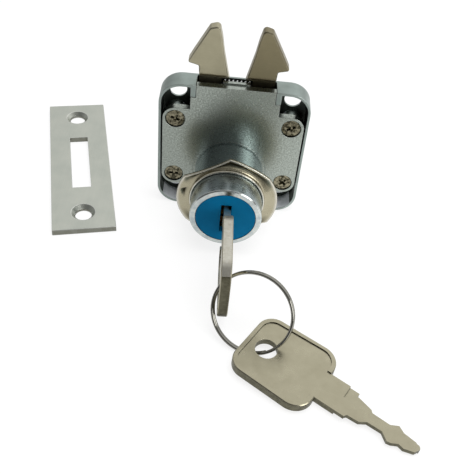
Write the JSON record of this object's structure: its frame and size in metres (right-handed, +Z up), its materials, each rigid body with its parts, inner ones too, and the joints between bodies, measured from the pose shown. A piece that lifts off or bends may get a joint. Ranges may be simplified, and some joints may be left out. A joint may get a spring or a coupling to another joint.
{
  "type": "twin hook drawer lock",
  "caption": "Square-cased drawer lock with a round key barrel, twin hook latches, a trim nut, two keys on a split ring and a slotted strike plate.",
  "frame": {"origin": "on the barrel's axis in the mounting face, where the barrel meets the casing's front", "axes": "+Z up, the way the hooks point; the barrel points along -Y; +X to the right seen from the key's side"},
  "size_m": [0.1067, 0.1204, 0.0554],
  "materials": {
    "casing_metal": "satin",
    "cover_metal": "polished",
    "screw_metal": "satin",
    "nut_metal": "satin",
    "plug_brass": "satin",
    "cap_blue": "glossy",
    "hook_metal": "satin",
    "pin_steel": "satin",
    "spring_steel": "polished",
    "key_metal": "polished",
    "ring_steel": "polished",
    "strike_metal": "satin"
  },
  "bodies": {
    "lock": {"casing": "casing_metal", "cover": "cover_metal", "cover_screws": "screw_metal", "hook_pivot_pins": "pin_steel", "hook_spring": "spring_steel", "strike_plate": "strike_metal"},
    "trim_nut": {"trim_nut": "nut_metal"},
    "plug": {"plug": "plug_brass", "plug_cap": "cap_blue", "plug_clip": "spring_steel", "driver_cam": "hook_metal", "wafer_springs": "spring_steel"},
    "hook_left": {"hook_left": "hook_metal"},
    "hook_right": {"hook_right": "hook_metal"},
    "key": {"key": "key_metal"},
    "key_ring": {"key_ring": "ring_steel"},
    "spare_key": {"spare_key": "key_metal"},
    "wafer_1": {"wafer_1": "plug_brass"},
    "wafer_2": {"wafer_2": "plug_brass"},
    "wafer_3": {"wafer_3": "plug_brass"},
    "wafer_4": {"wafer_4": "plug_brass"},
    "wafer_5": {"wafer_5": "plug_brass"}
  },
  "joints": [
    {"name": "nut_slide", "type": "slide", "parent": "lock", "child": "trim_nut", "axis": [0, -1, 0], "range_m": [-0.0116, 0.0065]},
    {"name": "plug_turn", "type": "hinge", "parent": "lock", "child": "plug", "pos_m": [0, 0, 0], "axis": [0, -1, 0], "range_deg": [0, 90]},
    {"name": "hook_left_turn", "type": "hinge", "parent": "lock", "child": "hook_left", "pos_m": [-0.0063, 0.0035, 0.01145], "axis": [0, 1, 0], "range_deg": [0, 5.5], "deforming": ["hook_spring"]},
    {"name": "hook_right_turn", "type": "hinge", "parent": "lock", "child": "hook_right", "pos_m": [0.0063, 0.0035, 0.01145], "axis": [0, -1, 0], "range_deg": [0, 5.5], "deforming": ["hook_spring"]},
    {"name": "key_slide", "type": "slide", "parent": "plug", "child": "key", "axis": [0, -1, 0], "range_m": [0, 0.02]},
    {"name": "wafer_1_slide", "type": "slide", "parent": "plug", "child": "wafer_1", "axis": [0, 0, -1], "range_m": [0, 0.0008]},
    {"name": "wafer_2_slide", "type": "slide", "parent": "plug", "child": "wafer_2", "axis": [0, 0, -1], "range_m": [0, 0.0008]},
    {"name": "wafer_3_slide", "type": "slide", "parent": "plug", "child": "wafer_3", "axis": [0, 0, -1], "range_m": [0, 0.0008]},
    {"name": "wafer_4_slide", "type": "slide", "parent": "plug", "child": "wafer_4", "axis": [0, 0, -1], "range_m": [0, 0.0008]},
    {"name": "wafer_5_slide", "type": "slide", "parent": "plug", "child": "wafer_5", "axis": [0, 0, -1], "range_m": [0, 0.0008]},
    {"name": "ring_swing", "type": "hinge", "parent": "key", "child": "key_ring", "pos_m": [0.00082, -0.04261, 0.00017], "axis": [-0.6024, -0.2143, -0.7689], "range_deg": [0, 40]},
    {"name": "spare_key_travel", "type": "hinge", "parent": "key_ring", "child": "spare_key", "pos_m": [0.00811, -0.04801, -0.00403], "axis": [-0.3254, -0.8136, 0.4818], "range_deg": [0, 40]}
  ],
  "couplings": [
    {"joint": "hook_left_turn", "follows": "plug_turn", "ratio": 0.061},
    {"joint": "hook_right_turn", "follows": "plug_turn", "ratio": 0.061},
    {"joint": "wafer_1_slide", "follows": "key_slide", "ratio": 0.04},
    {"joint": "wafer_2_slide", "follows": "key_slide", "ratio": 0.04},
    {"joint": "wafer_3_slide", "follows": "key_slide", "ratio": 0.04},
    {"joint": "wafer_4_slide", "follows": "key_slide", "ratio": 0.04},
    {"joint": "wafer_5_slide", "follows": "key_slide", "ratio": 0.04}
  ]
}
